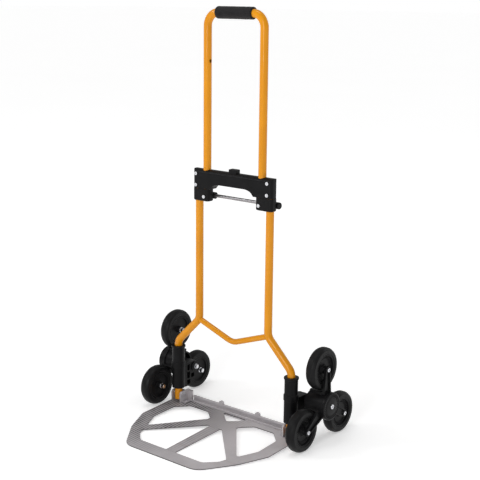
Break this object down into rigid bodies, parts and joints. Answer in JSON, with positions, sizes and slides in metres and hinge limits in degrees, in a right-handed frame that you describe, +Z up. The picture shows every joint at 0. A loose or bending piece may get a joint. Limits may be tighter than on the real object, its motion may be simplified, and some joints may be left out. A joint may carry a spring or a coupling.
{
  "type": "stair climbing trolley",
  "caption": "Folding hand trolley with telescopic handle, spoked toe plate and a rotating wheel cluster on each side for stairs.",
  "frame": {"origin": "on the ground at the centre of the object's box, between the two wheel clusters", "axes": "+Z up along the handle, +X to the trolley's right along the axles, load side towards -Y"},
  "size_m": [0.52, 0.4329, 0.9926],
  "materials": {
    "frame_paint": "gloss powder coat",
    "black_plastic": "satin moulded",
    "grip_foam": "matt foam",
    "tyre_rubber": "satin solid rubber",
    "plate_metal": "satin extruded",
    "zinc_steel": "bright zinc plate",
    "rod_steel": "bright drawn"
  },
  "bodies": {
    "frame": {"side_tube_right": "frame_paint", "side_tube_left": "frame_paint", "cross_tube": "frame_paint", "leg_plugs": "black_plastic", "yoke_front_shell": "black_plastic", "yoke_rear_shell": "black_plastic", "yoke_screws": "zinc_steel", "lock_spring": "zinc_steel"},
    "handle": {"handle_tube": "frame_paint", "handle_grip": "grip_foam", "slide_block_right": "black_plastic", "slide_block_left": "black_plastic", "slide_block_screws": "zinc_steel", "cross_rod": "rod_steel", "rod_knob_right": "black_plastic", "rod_knob_left": "black_plastic"},
    "button": {"release_button": "black_plastic"},
    "lock_pin_right": {"lock_pin_right": "black_plastic"},
    "lock_pin_left": {"lock_pin_left": "black_plastic"},
    "toe_plate": {"toe_plate_front": "plate_metal", "toe_plate_rear": "plate_metal", "toe_plate_hinge_bar": "plate_metal", "plate_rivets": "zinc_steel", "hinge_bracket_right": "plate_metal", "hinge_pin_right": "zinc_steel", "hinge_bracket_left": "plate_metal", "hinge_pin_left": "zinc_steel"},
    "bracket_right": {"wheel_bracket_right": "black_plastic", "axle_bolt_right": "zinc_steel", "axle_nut_right": "zinc_steel"},
    "cluster_right": {"cluster_star_right": "black_plastic", "hub_cap_right": "black_plastic", "hub_bushes_right": "black_plastic", "wheel_bolts_right": "zinc_steel", "wheel_nuts_right": "zinc_steel"},
    "wheel_top_right": {"tyre_top_right": "tyre_rubber", "wheel_hub_top_right": "black_plastic"},
    "wheel_front_right": {"tyre_front_right": "tyre_rubber", "wheel_hub_front_right": "black_plastic"},
    "wheel_rear_right": {"tyre_rear_right": "tyre_rubber", "wheel_hub_rear_right": "black_plastic"},
    "bracket_left": {"wheel_bracket_left": "black_plastic", "axle_bolt_left": "zinc_steel", "axle_nut_left": "zinc_steel"},
    "cluster_left": {"cluster_star_left": "black_plastic", "hub_cap_left": "black_plastic", "hub_bushes_left": "black_plastic", "wheel_bolts_left": "zinc_steel", "wheel_nuts_left": "zinc_steel"},
    "wheel_top_left": {"tyre_top_left": "tyre_rubber", "wheel_hub_top_left": "black_plastic"},
    "wheel_front_left": {"tyre_front_left": "tyre_rubber", "wheel_hub_front_left": "black_plastic"},
    "wheel_rear_left": {"tyre_rear_left": "tyre_rubber", "wheel_hub_rear_left": "black_plastic"}
  },
  "joints": [
    {"name": "handle_slide", "type": "slide", "parent": "frame", "child": "handle", "axis": [0, 0, 1], "range_m": [-0.272, 0]},
    {"name": "button_press", "type": "slide", "parent": "frame", "child": "button", "axis": [0, 0, -1], "range_m": [0, 0.005], "stiffness_N_per_m": 400, "springref_m": -0.002},
    {"name": "lock_pin_right_slide", "type": "slide", "parent": "frame", "child": "lock_pin_right", "axis": [-1, 0, 0], "range_m": [0, 0.005], "deforming": ["lock_spring"]},
    {"name": "lock_pin_left_slide", "type": "slide", "parent": "frame", "child": "lock_pin_left", "axis": [1, 0, 0], "range_m": [0, 0.005]},
    {"name": "toe_plate_fold", "type": "hinge", "parent": "frame", "child": "toe_plate", "pos_m": [0, 0.0435, 0.032], "axis": [-1, 0, 0], "range_deg": [0, 90]},
    {"name": "bracket_right_fold", "type": "hinge", "parent": "frame", "child": "bracket_right", "pos_m": [0.175, 0.0435, 0.1], "axis": [0, 0, 1], "range_deg": [0, 90]},
    {"name": "cluster_right_spin", "type": "hinge", "parent": "bracket_right", "child": "cluster_right", "pos_m": [0.24, 0.0915, 0.0933], "axis": [1, 0, 0], "continuous": true},
    {"name": "wheel_top_right_spin", "type": "hinge", "parent": "cluster_right", "child": "wheel_top_right", "pos_m": [0.2255, 0.0915, 0.1799], "axis": [1, 0, 0], "continuous": true},
    {"name": "wheel_front_right_spin", "type": "hinge", "parent": "cluster_right", "child": "wheel_front_right", "pos_m": [0.2255, 0.0165, 0.05], "axis": [1, 0, 0], "continuous": true},
    {"name": "wheel_rear_right_spin", "type": "hinge", "parent": "cluster_right", "child": "wheel_rear_right", "pos_m": [0.2255, 0.1665, 0.05], "axis": [1, 0, 0], "continuous": true},
    {"name": "bracket_left_fold", "type": "hinge", "parent": "frame", "child": "bracket_left", "pos_m": [-0.175, 0.0435, 0.1], "axis": [0, 0, -1], "range_deg": [0, 90]},
    {"name": "cluster_left_spin", "type": "hinge", "parent": "bracket_left", "child": "cluster_left", "pos_m": [-0.24, 0.0915, 0.0933], "axis": [1, 0, 0], "continuous": true},
    {"name": "wheel_top_left_spin", "type": "hinge", "parent": "cluster_left", "child": "wheel_top_left", "pos_m": [-0.2255, 0.0915, 0.1799], "axis": [1, 0, 0], "continuous": true},
    {"name": "wheel_front_left_spin", "type": "hinge", "parent": "cluster_left", "child": "wheel_front_left", "pos_m": [-0.2255, 0.0165, 0.05], "axis": [1, 0, 0], "continuous": true},
    {"name": "wheel_rear_left_spin", "type": "hinge", "parent": "cluster_left", "child": "wheel_rear_left", "pos_m": [-0.2255, 0.1665, 0.05], "axis": [1, 0, 0], "continuous": true}
  ],
  "couplings": [
    {"joint": "lock_pin_right_slide", "follows": "button_press", "ratio": 1},
    {"joint": "lock_pin_left_slide", "follows": "button_press", "ratio": 1},
    {"joint": "bracket_right_fold", "follows": "toe_plate_fold", "ratio": 1},
    {"joint": "bracket_left_fold", "follows": "toe_plate_fold", "ratio": 1}
  ]
}
